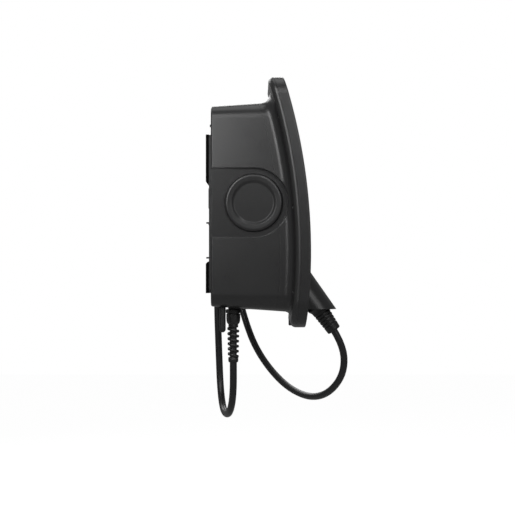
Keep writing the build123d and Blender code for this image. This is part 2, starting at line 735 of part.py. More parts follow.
def cable_gland():
    hexagon = Pos(GLAND_X, -GLAND_DEPTH, HEX_TOP - HEX_HIGH) * extrude(
        RegularPolygon(HEX_ACROSS / 2, 6), HEX_HIGH)
    hexagon = chamfer(hexagon.faces().sort_by(Axis.Z)[0].edges(), 0.8)
    body = hexagon + turned(GLAND_X, GLAND_DEPTH, HEX_TOP - HEX_HIGH, SLEEVE_R, SLEEVE_HIGH)
    body += turned(GLAND_X, GLAND_DEPTH, GLAND_TOP, GLAND_THREAD_R, GLAND_TOP - HEX_TOP)
    body -= turned(GLAND_X, GLAND_DEPTH, 0, CABLE_R - 1, 190)
    return body - (turned(GLAND_X, GLAND_DEPTH, 0, CABLE_R + FIT, 400) & below(CORD_START))


def gland_locknut():
    inside = bottom_at(GLAND_DEPTH - 14) + WALL + 0.6
    nut = Pos(GLAND_X, -GLAND_DEPTH, inside) * extrude(RegularPolygon(14, 6), 5)
    return nut - turned(GLAND_X, GLAND_DEPTH, 0, GLAND_THREAD_R, 400)


def kink_spiral():
    """Open spiral that keeps the cable from kinking, with its end ring."""
    inner = CABLE_R + LOOSE_FIT
    foot = BOOT_TOP - BOOT_HIGH
    ring = turned(GLAND_X, GLAND_DEPTH, foot + BOOT_END, BOOT_COLLAR_R - 0.4, BOOT_END)
    ring -= turned(GLAND_X, GLAND_DEPTH, foot + BOOT_END + 1, inner, BOOT_END + 2)
    low = foot + BOOT_END - 2
    high = BOOT_TOP - BOOT_COLLAR - BOOT_WIRE / 2 - FIT
    line = Helix(BOOT_PITCH, high - low, (inner + FIT + BOOT_R) / 2)
    line = Pos(GLAND_X, -GLAND_DEPTH, low) * line
    start = Plane(origin=line @ 0, x_dir=(1, 0, 0), z_dir=line % 0)
    wire = sweep(start * Rectangle(BOOT_R - inner - FIT, BOOT_WIRE), path=line, is_frenet=True)
    return wire + ring


def boot_collar():
    """Collar that holds the spiral on the gland's sleeve."""
    ring = turned(GLAND_X, GLAND_DEPTH, BOOT_TOP, BOOT_COLLAR_R, BOOT_COLLAR)
    return ring - turned(GLAND_X, GLAND_DEPTH, BOOT_TOP + 1, CABLE_R + LOOSE_FIT, BOOT_COLLAR + 2)


def antenna():
    """Stub antenna under the housing, closed by a round end."""
    top = bottom_at(ANTENNA_DEPTH + ANTENNA_R)
    stub = turned(ANTENNA_X, ANTENNA_DEPTH, top, ANTENNA_R, top - ANTENNA_TIP)
    stub = fillet(stub.edges().sort_by(Axis.Z)[0], ANTENNA_R - 0.3)
    neck_top = bottom_at(ANTENNA_DEPTH) + WALL + 7
    return stub + turned(ANTENNA_X, ANTENNA_DEPTH, neck_top, ANTENNA_THREAD_R, neck_top - top + 1)


def antenna_nut():
    inside = bottom_at(ANTENNA_DEPTH - 7) + WALL + 0.3
    nut = Pos(ANTENNA_X, -ANTENNA_DEPTH, inside) * extrude(RegularPolygon(7, 6), 3.5)
    return nut - turned(ANTENNA_X, ANTENNA_DEPTH, 0, ANTENNA_THREAD_R, 400)


def supply_grommet():
    """Rubber grommet in the underside, closed by a thin skin until the supply is led in."""
    floor = bottom_at(GROMMET_DEPTH)
    body = turned(GROMMET_X, GROMMET_DEPTH, floor + WALL + 1, GROMMET_R, WALL + 4)
    lean = (GROMMET_R + 4) * TAN_DRAFT
    body += turned(GROMMET_X, GROMMET_DEPTH, floor - lean, GROMMET_R + 3, 3)
    return body - turned(GROMMET_X, GROMMET_DEPTH, floor - lean + 1, GROMMET_R - 3, 12)


def frame_screws():
    screws = Part()
    for x in (-PILLAR_X, PILLAR_X):
        for z in PILLAR_LEVELS:
            seat = rim_screw_seat(z)
            screws += disc(x, z, SCREW_R, seat, depth_at(RIM, z) + 8)
            screws += disc(x, z, 2 * SCREW_R, seat - 3, seat)
    return screws


def cover_screws():
    screws = Part()
    for x in (-COVER_SCREW_X, COVER_SCREW_X):
        for z in COVER_SCREW_LEVELS:
            seat = cover_screw_seat(z)
            screws += disc(x, z, SCREW_R, seat, depth_at(SEAM, z) + 7)
            screws += disc(x, z, COVER_HEAD_R, seat - 2.5, seat)
    return screws


def board_spots():
    rows = (BOARD_LOW + BOARD_SPOT_INSET, BOARD_MIDDLE_ROW, BOARD_HIGH - BOARD_SPOT_INSET)
    x = BOARD_W / 2 - BOARD_SPOT_INSET
    return [(side * x, z) for side in (-1, 1) for z in rows]


def main_board():
    middle = Pos(0, (BOARD_LOW + BOARD_HIGH) / 2)
    outline = middle * RectangleRounded(BOARD_W, BOARD_HIGH - BOARD_LOW, 4)
    board = prism(outline, BOARD_DEPTH, BOARD_DEPTH + BOARD_THICK)
    for x, z in board_spots():
        board -= disc(x, z, SCREW_R + FIT, 0, FAR)
    return board


def board_standoffs():
    posts = Part()
    for x, z in board_spots():
        post = disc(x, z, BOARD_SPOT_R, BODY_BACK + REAR_WALL, BOARD_DEPTH)
        posts += post - disc(x, z, SCREW_R, BOARD_DEPTH - 10, BOARD_DEPTH + 1)
    return posts


def board_screws():
    screws = Part()
    for x, z in board_spots():
        screws += disc(x, z, SCREW_R, BOARD_DEPTH - 8, ON_BOARD)
        screws += disc(x, z, BOARD_SPOT_R, ON_BOARD, ON_BOARD + 2.4)
    return screws


def on_board(x_a, z_a, wide, high, deep):
    """A module's block on the main board, from its lower left corner."""
    return plate(x_a, x_a + wide, z_a, z_a + high, ON_BOARD, ON_BOARD + deep)


def contactor():
    """Four-pole contactor that switches the charging current."""
    left = -CONTACTOR_W / 2
    low = BOARD_HIGH - CONTACTOR_DROP - CONTACTOR_HIGH
    high = low + CONTACTOR_HIGH
    block = on_board(left, low, CONTACTOR_W, CONTACTOR_HIGH, CONTACTOR_DEEP)
    block = fillet(block.edges().filter_by(Axis.Y), 2)
    shelf = ON_BOARD + CONTACTOR_DEEP - CONTACTOR_STEP_DEEP
    top = ON_BOARD + CONTACTOR_DEEP + 1
    for z in (low - 1, high - CONTACTOR_STEP):
        block -= plate(left - 1, 1 - left, z, z + CONTACTOR_STEP + 1, shelf, top)
    for pole in range(POLES):
        x = (pole - (POLES - 1) / 2) * POLE_PITCH
        for z in (low + CONTACTOR_STEP / 2, high - CONTACTOR_STEP / 2):
            block -= disc(x, z, POLE_R, shelf - 2 * POLE_R, top)
    return block


def residual_current_sensor():
    x = SENSOR_R + MODULE_MARGIN - BOARD_W / 2
    z = BOARD_MIDDLE_ROW - SENSOR_DROP
    ring = disc(x, z, SENSOR_R, ON_BOARD, ON_BOARD + SENSOR_DEEP)
    ring = fillet(ring.edges(), 2)
    return ring - disc(x, z, SENSOR_BORE_R, ON_BOARD - 1, ON_BOARD + SENSOR_DEEP + 1)


def power_supply():
    left = BOARD_W / 2 - MODULE_MARGIN - SUPPLY_W
    low = BOARD_MIDDLE_ROW - SUPPLY_DROP - SUPPLY_HIGH
    body = on_board(left, low, SUPPLY_W, SUPPLY_HIGH, SUPPLY_DEEP)
    return fillet(body.edges().filter_by(Axis.Y) + body.faces().sort_by(Axis.Y)[0].edges(), 1.5)


def supply_terminal_block():
    """Screw terminals for the supply, with a wire entry under each."""
    low = BOARD_LOW + TERMINAL_UP
    block = on_board(-TERMINAL_W / 2, low, TERMINAL_W, TERMINAL_HIGH, TERMINAL_DEEP)
    block = chamfer(block.faces().sort_by(Axis.Y)[0].edges().filter_by(Axis.X), TERMINAL_BEVEL)
    half = WIRE_ENTRY / 2
    entry = ON_BOARD + TERMINAL_DEEP / 2
    for pole in range(TERMINALS):
        x = (pole - (TERMINALS - 1) / 2) * TERMINAL_PITCH
        block -= disc(x, low + TERMINAL_HIGH / 2, TERMINAL_SCREW_R, entry + 1, FAR)
        block -= plate(x - half, x + half, low - 1, low + WIRE_ENTRY + 2, entry - WIRE_ENTRY, entry)
    return block


def energy_meter():
    left = MODULE_MARGIN - BOARD_W / 2
    low = BOARD_HIGH - METER_DROP - METER_HIGH
    block = on_board(left, low, METER_W, METER_HIGH, METER_DEEP)
    return chamfer(block.faces().sort_by(Axis.Y)[0].edges(), 2)


# The cable from the gland round into the coil, as x, depth and height
DROP_ROUTE = [
    (GLAND_X, 52.1, CORD_START),
    (GLAND_X, 52.1, -269.0),
    (GLAND_X + 0.8, 52.3, -345.5),
    (7.5, 43.6, -387.0),
    (66.0, 30.7, -387.5),
    (106.5, 23.3, -345.0),
    (107.0, 20.2, -266.0),
    (105.2, 17.0, -170.0),
    (105.7, 17.5, -82.0),
    (COIL_X - COIL_MID_R - COIL_PITCH, COIL_BACK, COIL_Z),
]

# The cable from the coil down and forwards to the docked connector
LOOP_ROUTE = [
    (COIL_X + COIL_MID_R + COIL_PITCH, COIL_BACK + 2 * COIL_PITCH, COIL_Z),
    (288.0, 46.6, -82.0),
    (283.0, 56.0, -150.0),
    (262.0, 74.0, -215.0),
    (236.0, 95.0, -268.0),
    (200.0, 128.0, -315.0),
    (148.0, 167.0, -349.0),
    (92.0, 210.0, -362.0),
    (44.0, 246.0, -345.0),
    (11.0, 272.0, -301.0),
]


def on_dock_axis(past_mouth):
    """A point of the connector's tail axis, as x, depth and height."""
    place = DOCK.from_local_coords(Vector(0, 0, past_mouth))
    return (place.X, -place.Y, place.Z)


def loop_route():
    """The loop ends straight in line with the connector's tail."""
    return LOOP_ROUTE + [on_dock_axis(TAIL_LONG + 30), on_dock_axis(TAIL_LONG - 20)]


def cord_tube(name, route):
    """A tube on straight runs that tangent arcs join, with its radii printed."""
    points = [spot(*p) for p in route]
    radii = []
    for before, here, after in zip(points, points[1:], points[2:]):
        turn = math.radians((here - before).get_angle(after - here))
        shorter = min((here - before).length, (after - here).length)
        radii.append(0.45 * shorter / math.tan(turn / 2))
    path = FilletPolyline(*points, radius=radii)
    start = Plane(origin=path @ 0, z_dir=path % 0)
    tube = sweep(start * Circle(CABLE_R), path=path)
    runs = [round((b - a).length) for a, b in zip(points, points[1:])]
    ratio = tube.volume / (math.pi * CABLE_R ** 2 * path.length)
    print(name, "length", round(path.length, 1), "volume ratio", round(ratio, 5))
    print("  radii", [round(r) for r in radii], "runs", runs)
    return tube


def cord_coil(drop, loop):
    """The put-away turns as one ring, relieved where the two free ends run into it."""
    half = COIL_PITCH * COIL_ROWS / 2
    low = COIL_BACK - COIL_PITCH / 2
    ring = disc(COIL_X, COIL_Z, COIL_MID_R + half, low, low + 2 * half)
    ring -= disc(COIL_X, COIL_Z, COIL_MID_R - half, 0, FAR)
    ring = fillet(ring.edges().filter_by(GeomType.CIRCLE), 5)
    return ring - drop - loop


def cable_strap():
    """Hook-and-loop strap round the bottom of the coil."""
    half = COIL_PITCH * COIL_ROWS / 2
    outer_r = COIL_MID_R + half
    inner_r = COIL_MID_R - half
    sag = (inner_r ** 2 - (STRAP_WIDE / 2) ** 2) ** 0.5
    low = COIL_Z - outer_r - FIT
    high = COIL_Z - sag + FIT
    near = COIL_BACK - COIL_PITCH / 2 - FIT
    far = near + 2 * half + 2 * FIT
    left, right = COIL_X - STRAP_WIDE / 2, COIL_X + STRAP_WIDE / 2
    skin = STRAP_THICK
    band = plate(left, right, low - skin, high + skin, near - skin, far + skin)
    band = fillet(band.edges().filter_by(Axis.X), 4)
    return band - plate(left - 1, right + 1, low, high, near, far)


def build():
    drop = cord_tube("cord_drop", DROP_ROUTE)
    loop = cord_tube("cord_loop", loop_route())
    return {
        "spacer_pad_upper": spacer_pad(BOLT_SPACING_Z / 2, PAD_UPPER_HIGH),
        "spacer_pad_lower": spacer_pad(-BOLT_SPACING_Z / 2, PAD_LOWER_HIGH),
        "wall_bracket": wall_bracket(),
        "hanging_studs": hanging_studs(),
        "securing_screw": securing_screw(),
        "cable_hook": cable_hook(),
        "hook_screws": hook_screws(),
        "rear_housing": rear_housing(),
        "cover_gasket": cover_gasket(),
        "cover_frame": cover_frame(),
        "cover_latch": cover_latch(),
        "frame_screws": frame_screws(),
        "front_cover": front_cover(),
        "holster_hood": holster_hood(),
        "cover_screws": cover_screws(),
        "side_cap_left": side_cap(-1),
        "side_cap_right": side_cap(1),
        "holster_liner": holster_liner(),
        "status_light_guide": status_light_guide(),
        "control_board": control_board(),
        "main_board": main_board(),
        "board_standoffs": board_standoffs(),
        "board_screws": board_screws(),
        "contactor": contactor(),
        "energy_meter": energy_meter(),
        "residual_current_sensor": residual_current_sensor(),
        "power_supply": power_supply(),
        "supply_terminal_block": supply_terminal_block(),
        "supply_grommet": supply_grommet(),
        "cable_gland": cable_gland(),
        "gland_locknut": gland_locknut(),
        "boot_collar": boot_collar(),
        "kink_spiral": kink_spiral(),
        "antenna": antenna(),
        "antenna_nut": antenna_nut(),
        "connector_nose": connector_nose(),
        "connector_contacts": connector_contacts(),
        "connector_grip": connector_grip(),
        "cord_drop": drop,
        "cord_coil": cord_coil(drop, loop),
        "cord_loop": loop,
        "cable_strap": cable_strap(),
    }


def main():
    os.makedirs("parts", exist_ok=True)
    for name, solid in build().items():
        export_step(solid, f"parts/{name}.step")


main()
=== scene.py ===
# %% [markdown]
# # A wall charger for electric cars, and its cable
# The construction is already there as solids: every screw, board and shell at its real size.
# This file dresses it. It adds the camera, the light, the finishes and the cable, and it works out
# the moulded shells again as smooth surfaces.

# %% Load the solids
import json
import math

import bpy
import numpy as np
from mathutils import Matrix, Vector


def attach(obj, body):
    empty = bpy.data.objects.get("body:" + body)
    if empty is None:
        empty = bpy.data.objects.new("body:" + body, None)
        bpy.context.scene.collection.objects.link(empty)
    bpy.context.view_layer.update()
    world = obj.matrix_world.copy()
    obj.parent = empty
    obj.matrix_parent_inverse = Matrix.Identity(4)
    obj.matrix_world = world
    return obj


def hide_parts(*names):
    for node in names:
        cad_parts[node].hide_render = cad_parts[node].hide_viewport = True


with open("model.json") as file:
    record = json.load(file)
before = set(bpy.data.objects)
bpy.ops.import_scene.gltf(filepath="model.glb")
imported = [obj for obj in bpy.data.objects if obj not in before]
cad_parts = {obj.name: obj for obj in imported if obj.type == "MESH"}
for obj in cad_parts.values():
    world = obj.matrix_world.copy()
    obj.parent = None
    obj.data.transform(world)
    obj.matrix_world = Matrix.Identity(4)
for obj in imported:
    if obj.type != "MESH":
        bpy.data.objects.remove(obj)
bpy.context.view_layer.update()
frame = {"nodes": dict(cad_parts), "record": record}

# %% [markdown]
# ## Where the camera stands
# The picture is taken square on to the left side of the unit, so the wall is at the left edge of
# the object and its front at the right. The camera stands 2.8 m out and looks along +X. A field of
# view of 20.5 degrees then shows 0.98 m at the near side of the housing.

# %% Camera
CAMERA_X = -2.8
CAMERA_Y = -0.0992
CAMERA_Z = -0.0754
VIEW_HALF = 0.48925
VIEW_DISTANCE = 2.7

camera_data = bpy.data.cameras.new("camera")
camera_data.sensor_width = 36
camera_data.lens = 18 * VIEW_DISTANCE / VIEW_HALF
camera = bpy.data.objects.new("camera", camera_data)
camera.location = (CAMERA_X, CAMERA_Y, CAMERA_Z)
camera.rotation_euler = (math.pi / 2, 0, -math.pi / 2)
bpy.context.scene.collection.objects.link(camera)
bpy.context.scene.camera = camera
print("lens", round(camera_data.lens, 2), "mm")

# %% [markdown]
# ## The cable
# It is a charging cable of 14 mm, heavy and rather stiff. It leaves the gland straight down, turns
# up in one wide bend, and rises to a coil on the hook beside the unit. From the coil it hangs in a
# long loop forwards and ends in the docked connector. The whole cable is one NURBS spline, because
# a spline of order 3 bends as smoothly as a real sheath.

# %% Route of the cable, in metres
CABLE_R = 0.007
GLAND = (-0.034, -0.0521, -0.1932)
DROP = [
    GLAND,
    (-0.0340, -0.0521, -0.2690),
    (-0.0332, -0.0523, -0.3455),
    (0.0075, -0.0436, -0.3870),
    (0.0660, -0.0307, -0.3875),
    (0.1065, -0.0233, -0.3450),
    (0.1070, -0.0202, -0.2660),
    (0.1052, -0.0170, -0.1700),
    (0.1057, -0.0175, -0.0820),
]
LOOP = [
    (0.2880, -0.0466, -0.0820),
    (0.2830, -0.0560, -0.1500),
    (0.2620, -0.0740, -0.2150),
    (0.2360, -0.0950, -0.2680),
    (0.2000, -0.1280, -0.3150),
    (0.1480, -0.1670, -0.3490),
    (0.0920, -0.2100, -0.3620),
    (0.0440, -0.2460, -0.3450),
    (0.0110, -0.2720, -0.3010),
    (0.0000, -0.2678, -0.2437),
    (0.0000, -0.2392, -0.2027),
]

# %% [markdown]
# The coil has nine places across its section, three deep and three outwards. The cable fills them
# one after another, so that each turn lies beside the last. Near the end of each turn it slides
# over to the next place along a smooth step.

# %% Turns of the coil
COIL_CENTRE = (0.197, 0.005)
COIL_PITCH = 0.0143
COIL_MID_R = 0.077
COIL_BACK = 0.0175
TURNS = 8.5
POINTS_A_TURN = 16
PLACES = [(1, 0), (0, 0), (-1, 0), (-1, 1), (-1, 2), (0, 2), (0, 1), (1, 1), (1, 2)]


def coil_points():
    """Angle falls by one circle a turn; radius and depth step from place to place in turn."""
    steps = int(TURNS * POINTS_A_TURN)
    turn = np.arange(steps + 1) / POINTS_A_TURN
    stay = TURNS / len(PLACES)
    slide = 1 / 6
    radius = np.full(len(turn), float(PLACES[0][0]))
    row = np.full(len(turn), float(PLACES[0][1]))
    for k in range(1, len(PLACES)):
        part = np.clip((turn - stay * k) / slide + 0.5, 0, 1)
        smooth = part * part * (3 - 2 * part)
        radius += smooth * (PLACES[k][0] - PLACES[k - 1][0])
        row += smooth * (PLACES[k][1] - PLACES[k - 1][1])
    pulled_in = 0.75 + 0.25 * math.cos(2 * math.pi / POINTS_A_TURN)
    reach = (COIL_MID_R + COIL_PITCH * radius) / pulled_in
    angle = math.pi - 2 * math.pi * turn
    x = COIL_CENTRE[0] + reach * np.cos(angle)
    z = COIL_CENTRE[1] + reach * np.sin(angle)
    y = -(COIL_BACK + COIL_PITCH * row)
    return np.stack([x, y, z], axis=1)


route = np.vstack([DROP, coil_points(), LOOP])
cable_curve = bpy.data.curves.new("cable", "CURVE")
cable_curve.dimensions = "3D"
cable_curve.bevel_depth = CABLE_R
cable_curve.bevel_resolution = 7
cable_curve.resolution_u = 6
cable_curve.use_fill_caps = True
spline = cable_curve.splines.new("NURBS")
spline.points.add(len(route) - 1)
spline.points.foreach_set("co", np.hstack([route, np.ones((len(route), 1))]).ravel())
spline.order_u = 3
spline.use_endpoint_u = True
cable = bpy.data.objects.new("cable", cable_curve)
bpy.context.scene.collection.objects.link(cable)
print("cable points", len(route))

# %% [markdown]
# ## The form of the shells
# The unit is a drafted tub, and its front is a plate bent to one large radius. Between them the
# moulding sweeps out in an S: a hollow round the neck, then the round back edge of the plate. On the
# real unit the hollow is wide over the top, narrower along the sides and tight underneath. A CAD
# fillet keeps one radius, so the sweep is worked out again here as one smooth surface.
#
# Two outlines carry it: that of the tub, which grows towards the front by its draft, and that of
# the plate. Both have the same number of points in the same order, so that each point of the neck
# knows the point of the plate that it runs out to.

# %% Front and outlines
FRONT_R = 1.090
FRONT_DEPTH = 0.200
CROWN_Z = -0.065
DRAFT = math.tan(math.radians(4))
TUB_BACK = 0.010
NECK_HALF = 0.092


def depth_behind(offset, z):
    """Depth out from the wall, offset behind the bent front: a circle about an axis along X."""
    return np.sqrt((FRONT_R - offset) ** 2 - (z - CROWN_Z) ** 2) - (FRONT_R - FRONT_DEPTH)


def behind_front(depth, z):
    """How far a place lies behind the bent front, the reverse of depth_behind."""
    return FRONT_R - np.sqrt((depth + FRONT_R - FRONT_DEPTH) ** 2 + (z - CROWN_Z) ** 2)


def rounded_box(half_w, low, high, corner_low, corner_high, on_corner=24, on_side=44):
    """Points and outward normals: corner centre + radius (cos a, sin a), with even straights."""
    points, normals = [], []
    quarter = np.linspace(0, math.pi / 2, on_corner)
    for k in range(4):
        r = corner_high if k < 2 else corner_low
        x = (half_w - r) * (1 if k in (0, 3) else -1)
        z = high - r if k < 2 else low + r
        turned = quarter + k * math.pi / 2
        arc = np.stack([np.cos(turned), np.sin(turned)], axis=1)
        points.append(np.array([x, z]) + r * arc)
        normals.append(arc)
    outline, outward = [], []
    along = np.linspace(0, 1, on_side + 2)[1:-1, None]
    for k in range(4):
        start, end = points[k][-1], points[(k + 1) % 4][0]
        outline += [points[k], start + (end - start) * along]
        outward += [normals[k], np.repeat(normals[k][-1:], on_side, axis=0)]
    return np.vstack(outline), np.vstack(outward)


TUB, OUTWARD = rounded_box(NECK_HALF, -0.1695, 0.2149, 0.024, 0.024)
COVER, _ = rounded_box(0.133, -0.209, 0.2675, 0.052, 0.034)
print("points round the outline", len(TUB))

# %% [markdown]
# A place on the shell has three numbers: its point round the outline, how far it lies behind the
# front, and how far it stands out from the neck. The depth follows from the height and the height
# from the depth, so a few rounds of putting one into the other settle both.


# %% Places on the shell
def on_shell(offset, out, from_edge):
    """Neck + (cover edge - neck) · out / span; from_edge counts out inwards from the edge."""
    z = np.broadcast_to(COVER[:, 1], offset.shape)
    for _ in range(8):
        depth = depth_behind(offset, z)
        neck = TUB + OUTWARD * ((depth - TUB_BACK) * DRAFT)[..., None]
        across = COVER - neck
        span = (across * OUTWARD).sum(axis=-1)
        reach = np.where(from_edge, span - out, out)
        flat = neck + across * (reach / span)[..., None]
        z = flat[..., 1]
    return np.stack([flat[..., 0], -depth_behind(offset, z), z], axis=-1)


def grid_faces(rows, columns, wrap_rows=False, wrap_columns=True):
    """Quads between neighbours of a grid whose points are numbered row after row."""
    i = np.arange(rows if wrap_rows else rows - 1)[:, None]
    j = np.arange(columns if wrap_columns else columns - 1)[None, :]
    below, beside = (i + 1) % rows, (j + 1) % columns
    corners = [i * columns + j, i * columns + beside, below * columns + beside, below * columns + j]
    return np.stack(corners, axis=-1).reshape(-1, 4).tolist()


def add_piece(name, points, faces, crease=12.0):
    """A smooth mesh with its faces turned outwards: the volume it encloses comes out positive."""
    points = np.asarray(points, float).reshape(-1, 3)
    volume = 0.0
    for sides in {len(face) for face in faces}:
        corner = points[np.array([face for face in faces if len(face) == sides])]
        for k in range(1, sides - 1):
            volume += (corner[:, 0] * np.cross(corner[:, k], corner[:, k + 1])).sum()
    if volume < 0:
        faces = [face[::-1] for face in faces]
    mesh = bpy.data.meshes.new(name)
    mesh.from_pydata(points.tolist(), [], faces)
    mesh.shade_smooth()
    mesh.set_sharp_from_angle(angle=math.radians(crease))
    piece = bpy.data.objects.new(name, mesh)
    bpy.context.scene.collection.objects.link(piece)
    return piece


def combine(piece, tool, operation="DIFFERENCE", crease=12.0):
    """Cut the tool out of the piece, or join it on, and drop the tool."""
    step = piece.modifiers.new("step", "BOOLEAN")
    step.object = tool
    step.operation = operation
    step.solver = "EXACT"
    done = piece.evaluated_get(bpy.context.evaluated_depsgraph_get())
    mesh = bpy.data.meshes.new_from_object(done)
    piece.modifiers.clear()
    piece.data = mesh
    bpy.data.objects.remove(tool)
    mesh.shade_smooth()
    mesh.set_sharp_from_angle(angle=math.radians(crease))


# %% [markdown]
# ### The frame behind the cover
# Its section starts at the hairline seam with the tub, follows the hollow and the round edge, and
# comes back inside the wall. Carried round the outline, that closed section makes a ring with no
# ends. The radius of the hollow depends on which way the outline faces at each point.

# %% Section of the frame, carried round
SEAM = 0.018
FLANGE = 0.030
RIM = 0.0584
EDGE_R = 0.012
HOLLOW_TOP = 0.0270
HOLLOW_SIDE = 0.0188
HOLLOW_FOOT = 0.0122
WALL = 0.0035
EDGE_WALL = 0.006
FLANGE_WALL = 0.005


def ease(t):
    """A step with a soft start and end: 3t² - 2t³."""
    return t * t * (3 - 2 * t)


facing = OUTWARD[:, 1]
HOLLOW_R = HOLLOW_SIDE + np.where(facing > 0, (HOLLOW_TOP - HOLLOW_SIDE) * ease(np.abs(facing)),
                                  (HOLLOW_FOOT - HOLLOW_SIDE) * ease(np.abs(facing)))


def frame_section():
    """Rows of offset behind the front and distance out, from the seam round to the inside.

    Hollow: offset = FLANGE + R (1 - sin a), out = R (1 - cos a). Round edge, counted inwards from
    the cover's edge: offset = FLANGE - r (1 - cos b), distance = r (1 - sin b).
    """
    a = np.linspace(0, math.pi / 2, 22)[:, None]
    b = np.linspace(0, math.pi / 2, 16)[:, None]
    ones = np.ones_like(HOLLOW_R)[None, :]
    rows = [
        (RIM * ones, 0 * ones, False),
        (FLANGE + HOLLOW_R * (1 - np.sin(a)), HOLLOW_R * (1 - np.cos(a)), False),
        (FLANGE - EDGE_R * (1 - np.cos(b)) * ones, EDGE_R * (1 - np.sin(b)) * ones, True),
        (SEAM * ones, EDGE_WALL * ones, True),
        ((FLANGE - FLANGE_WALL) * ones, EDGE_WALL * ones, True),
        ((FLANGE - FLANGE_WALL) * ones, -WALL * ones, False),
        (RIM * ones, -WALL * ones, False),
    ]
    offset = np.vstack([row[0] for row in rows])
    out = np.vstack([row[1] for row in rows])
    from_edge = np.vstack([np.full(row[0].shape, row[2]) for row in rows])
    return offset, out, from_edge


section = on_shell(*frame_section())
frame_shell = add_piece("frame_shell", section, grid_faces(*section.shape[:2], wrap_rows=True))
print("frame shell", section.shape[0], "rows round", section.shape[1])

# %% [markdown]
# The frame also has the round end of each side recess in it, with a wall behind it, seats for the
# six cover screws, and four ears for the screws that hold it to the tub. These are joined and cut
# with exact Booleans. The tool for the recess has a mouth that flares in a quarter round, so it
# leaves a soft lip.

# %% Tools for the recess
RECESS_Z = 0.0293
RECESS_R = 0.0663
PAST_RIM = 0.0206
RECESS_DEPTH = float(depth_behind(RIM, RECESS_Z)) + PAST_RIM - RECESS_R
RECESS_FLOOR = 0.0895
LIP_R = 0.0012
LIP_START = 0.868
ABOVE_LIP = 0.0015
PAST_SURFACE = 0.04


def half_width(depth, z):
    """Drafted side, plus the hollow once it has begun: R - sqrt(R² - s²), s along the depth."""
    s = np.clip(FLANGE + HOLLOW_SIDE - behind_front(depth, z), 0, HOLLOW_SIDE)
    hollow = HOLLOW_SIDE - np.sqrt(HOLLOW_SIDE ** 2 - s ** 2)
    return NECK_HALF + (depth - TUB_BACK) * DRAFT + hollow


def recess_tool(side):
    """A plug with a flaring mouth. Lip: larger by r (1 - cos q), lower by r (1 - sin q)."""
    q = np.radians(np.linspace(15, 75, 7))
    larger = np.concatenate([[0.0, 0.0], LIP_R * (1 - np.cos(q))])
    higher = np.concatenate([[0.0, -LIP_START * LIP_R], -LIP_R * (1 - np.sin(q))])
    larger = np.append(larger, [larger[-1] + ABOVE_LIP] * 2)[:, None]
    higher = np.append(higher, [higher[-1] + ABOVE_LIP / math.tan(q[-1]), PAST_SURFACE])[:, None]
    turn = np.linspace(-math.pi / 2, math.pi / 2, 61)
    radius = RECESS_R + larger
    depth = np.hstack([RECESS_DEPTH + radius * np.cos(turn), np.full((len(larger), 2), -0.02)])
    z = np.hstack([RECESS_Z + radius * np.sin(turn), RECESS_Z + radius, RECESS_Z - radius])
    x = half_width(np.maximum(depth, 0), z) + higher
    x[0] = RECESS_FLOOR
    points = np.stack([side * x, -depth, z], axis=-1)
    rows, columns = x.shape
    ends = [list(range(columns)), list(range((rows - 1) * columns, rows * columns))]
    return points.reshape(-1, 3), grid_faces(rows, columns) + [ends[0][::-1], ends[1]]


def recess_wall(side):
    """What closes the recess off inside: from the seam to a circle one wall wider, for each z."""
    wide = RECESS_R + WALL
    z = RECESS_Z + np.linspace(-0.98, 0.98, 49) * wide
    near = depth_behind(RIM, z)
    far = np.maximum(RECESS_DEPTH + np.sqrt(wide ** 2 - (z - RECESS_Z) ** 2), near + 0.0005)
    keep = far > near + 0.0006
    near, far, z = near[keep], far[keep], z[keep]
    floor = np.full(len(z), RECESS_FLOOR - WALL)
    depth = np.stack([near, far, far, near])
    x = np.stack([floor, floor, half_width(far, z) - WALL / 2, half_width(near, z) - WALL / 2])
    points = np.stack([side * x, -depth, np.broadcast_to(z, x.shape)], axis=-1)
    ends = [[k * len(z) + last for k in range(4)] for last in (0, len(z) - 1)]
    return points.reshape(-1, 3), grid_faces(4, len(z), True, False) + [ends[0], ends[1][::-1]]


def rod(x, z, radius, near, far, around=32):
    """A cylinder along Y between two depths: centre + radius (cos a, sin a)."""
    a = np.linspace(0, 2 * math.pi, around, endpoint=False)
    depth = np.array([near, far])[:, None]
    points = np.stack(np.broadcast_arrays(x + radius * np.cos(a), -depth, z + radius * np.sin(a)), -1)
    return points.reshape(-1, 3), grid_faces(2, around) + [list(range(around))[::-1],
                                                           list(range(around, 2 * around))]


# %% Cut and join the frame
COVER_SCREWS = [(x, z) for x in (-0.1174, 0.1174) for z in (-0.140, 0.020, 0.190)]
SCREW_HEAD_R = 0.0034
UNDER_HEAD = 0.005
EARS = [(side, z) for side in (-1, 1) for z in (-0.145, 0.188)]
EAR_INNER = 0.070
EAR_HALF = 0.007
EAR_THICK = 0.012


def screw_seat(x, z):
    """The hole for a screw's head, from behind the flange to 5 mm short of the seam."""
    seam = float(depth_behind(SEAM, z + 0.006))
    return rod(x, z, SCREW_HEAD_R, 0.02, seam - UNDER_HEAD)


def ear(side, z):
    """Six-sided block from 70 mm out to the middle of the neck's wall, 12 mm deep."""
    offset = np.array([RIM, RIM - EAR_THICK])[:, None, None]
    height = z + np.array([-EAR_HALF, EAR_HALF])[None, :, None]
    depth = depth_behind(offset, height)
    inner = np.full((2, 2, 1), EAR_INNER)
    outer = NECK_HALF + (depth - TUB_BACK) * DRAFT - WALL / 2
    x = side * np.concatenate([inner, outer], axis=2)
    depth, height = np.broadcast_to(depth, x.shape), np.broadcast_to(height, x.shape)
    points = np.stack([x, -depth, height], axis=-1).reshape(-1, 3)
    ring = points[[0, 1, 3, 2, 4, 5, 7, 6]]
    return ring, grid_faces(2, 4) + [[3, 2, 1, 0], [4, 5, 6, 7]]


